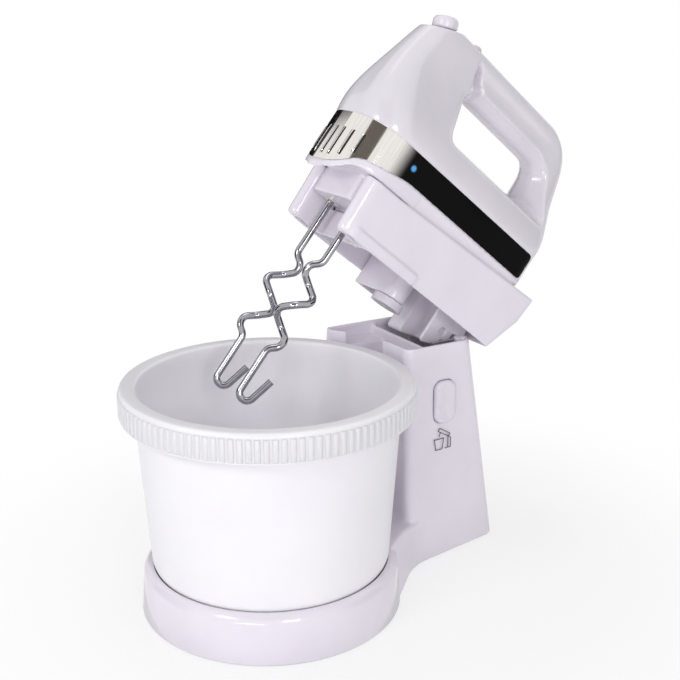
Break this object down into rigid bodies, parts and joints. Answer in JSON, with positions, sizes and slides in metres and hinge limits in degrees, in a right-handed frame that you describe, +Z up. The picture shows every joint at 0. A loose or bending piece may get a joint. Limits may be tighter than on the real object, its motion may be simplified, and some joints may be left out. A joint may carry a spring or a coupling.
{
  "type": "stand mixer",
  "caption": "Hand mixer tipped back on a tilting cradle above a column stand, with wire dough hooks over a turning bowl that has a ribbed rim.",
  "frame": {"origin": "table level under the middle of the whole part's box in its rest pose", "axes": "+Z up, -Y towards the front where the bowl is, +X towards the user's right as they face the front"},
  "size_m": [0.22, 0.4044, 0.4349],
  "materials": {
    "white_plastic": "gloss white moulding",
    "bowl_plastic": "satin white moulding",
    "grey_plastic": "matt",
    "gear_plastic": "natural acetal",
    "rubber": "matt",
    "pale_rubber": "matt",
    "steel": "bright",
    "trim": "polished steel fading to gloss black",
    "lens": "clear blue",
    "board": "matt",
    "core_iron": "laminated",
    "winding": "enamelled",
    "chrome": "polished"
  },
  "bodies": {
    "stand": {"stand_shell": "white_plastic", "base_plate": "grey_plastic", "base_screws": "steel", "foot_pads": "rubber", "turntable_stud": "steel", "glide_ring": "grey_plastic", "hinge_pin": "steel", "rocker_pin": "steel"},
    "turntable": {"turntable": "grey_plastic"},
    "bowl": {"bowl": "bowl_plastic"},
    "release_button": {"release_button": "white_plastic"},
    "latch": {"latch_rocker": "steel"},
    "cradle": {"cradle_tray": "white_plastic", "drive_housing": "white_plastic"},
    "drive": {"drive_shaft": "steel", "drive_wheel": "grey_plastic", "drive_tyre": "pale_rubber"},
    "mixer": {"lower_housing": "white_plastic", "upper_housing": "white_plastic", "trim_band": "trim", "led_lens": "lens", "control_board": "board", "cord_inlet": "rubber", "motor_stator": "core_iron", "field_coils": "winding", "front_bearing_bracket": "steel", "rear_bearing_bracket": "steel", "brush_holders": "winding"},
    "rotor": {"armature": "core_iron", "commutator": "winding", "motor_shaft": "steel", "cooling_fan": "grey_plastic"},
    "spindle_left": {"spindle_left": "gear_plastic"},
    "spindle_right": {"spindle_right": "gear_plastic"},
    "hook_left": {"dough_hook_left": "chrome"},
    "hook_right": {"dough_hook_right": "chrome"},
    "eject_button": {"eject_button": "white_plastic"},
    "speed_slider": {"speed_slider": "white_plastic"},
    "turbo_button": {"turbo_button": "white_plastic"}
  },
  "joints": [
    {"name": "turntable_spin", "type": "hinge", "parent": "stand", "child": "turntable", "pos_m": [0, -0.09217, 0.0233], "axis": [0, 0, 1], "continuous": true},
    {"name": "bowl_lift", "type": "slide", "parent": "turntable", "child": "bowl", "axis": [0, 0, -1], "range_m": [-0.02, 0]},
    {"name": "release_press", "type": "slide", "parent": "stand", "child": "release_button", "axis": [-1, 0, 0], "range_m": [0, 0.0035], "stiffness_N_per_m": 600, "springref_m": -0.002},
    {"name": "latch_rock", "type": "hinge", "parent": "stand", "child": "latch", "pos_m": [-0.001, 0.05983, 0.159], "axis": [0, 1, 0], "range_deg": [0, 9.75]},
    {"name": "head_tilt", "type": "hinge", "parent": "stand", "child": "cradle", "pos_m": [-0.034, 0.08583, 0.178], "axis": [1, 0, 0], "range_deg": [0, 39]},
    {"name": "drive_spin", "type": "hinge", "parent": "cradle", "child": "drive", "pos_m": [-0.037, 0.03342, 0.20757], "axis": [0, 0.6293, 0.7771], "continuous": true},
    {"name": "mixer_lift", "type": "slide", "parent": "cradle", "child": "mixer", "axis": [0, 0.6293, 0.7771], "range_m": [0, 0.02]},
    {"name": "rotor_spin", "type": "hinge", "parent": "mixer", "child": "rotor", "pos_m": [-0.034, 0.06578, 0.27401], "axis": [0, 0.7771, -0.6293], "continuous": true},
    {"name": "spindle_left_spin", "type": "hinge", "parent": "mixer", "child": "spindle_left", "pos_m": [-0.054, 0.00901, 0.31355], "axis": [0, 0.6293, 0.7771], "continuous": true},
    {"name": "spindle_right_spin", "type": "hinge", "parent": "mixer", "child": "spindle_right", "pos_m": [-0.014, 0.00901, 0.31355], "axis": [0, 0.6293, 0.7771], "continuous": true},
    {"name": "hook_left_eject", "type": "slide", "parent": "spindle_left", "child": "hook_left", "axis": [0, 0.6293, 0.7771], "range_m": [-0.02, 0]},
    {"name": "hook_right_eject", "type": "slide", "parent": "spindle_right", "child": "hook_right", "axis": [0, 0.6293, 0.7771], "range_m": [-0.02, 0]},
    {"name": "eject_press", "type": "slide", "parent": "mixer", "child": "eject_button", "axis": [0, -0.2588, -0.9659], "range_m": [0, 0.004], "stiffness_N_per_m": 500, "springref_m": -0.002},
    {"name": "speed_slide", "type": "slide", "parent": "mixer", "child": "speed_slider", "axis": [1, 0, 0], "range_m": [-0.005, 0.005]},
    {"name": "turbo_press", "type": "slide", "parent": "mixer", "child": "turbo_button", "axis": [0, -0.6293, -0.7771], "range_m": [0, 0.0015], "stiffness_N_per_m": 600, "springref_m": -0.002}
  ],
  "couplings": [
    {"joint": "latch_rock", "follows": "release_press", "rad_per_m": 47.619},
    {"joint": "spindle_left_spin", "follows": "rotor_spin", "ratio": 0.076923},
    {"joint": "spindle_right_spin", "follows": "rotor_spin", "ratio": -0.076923}
  ]
}
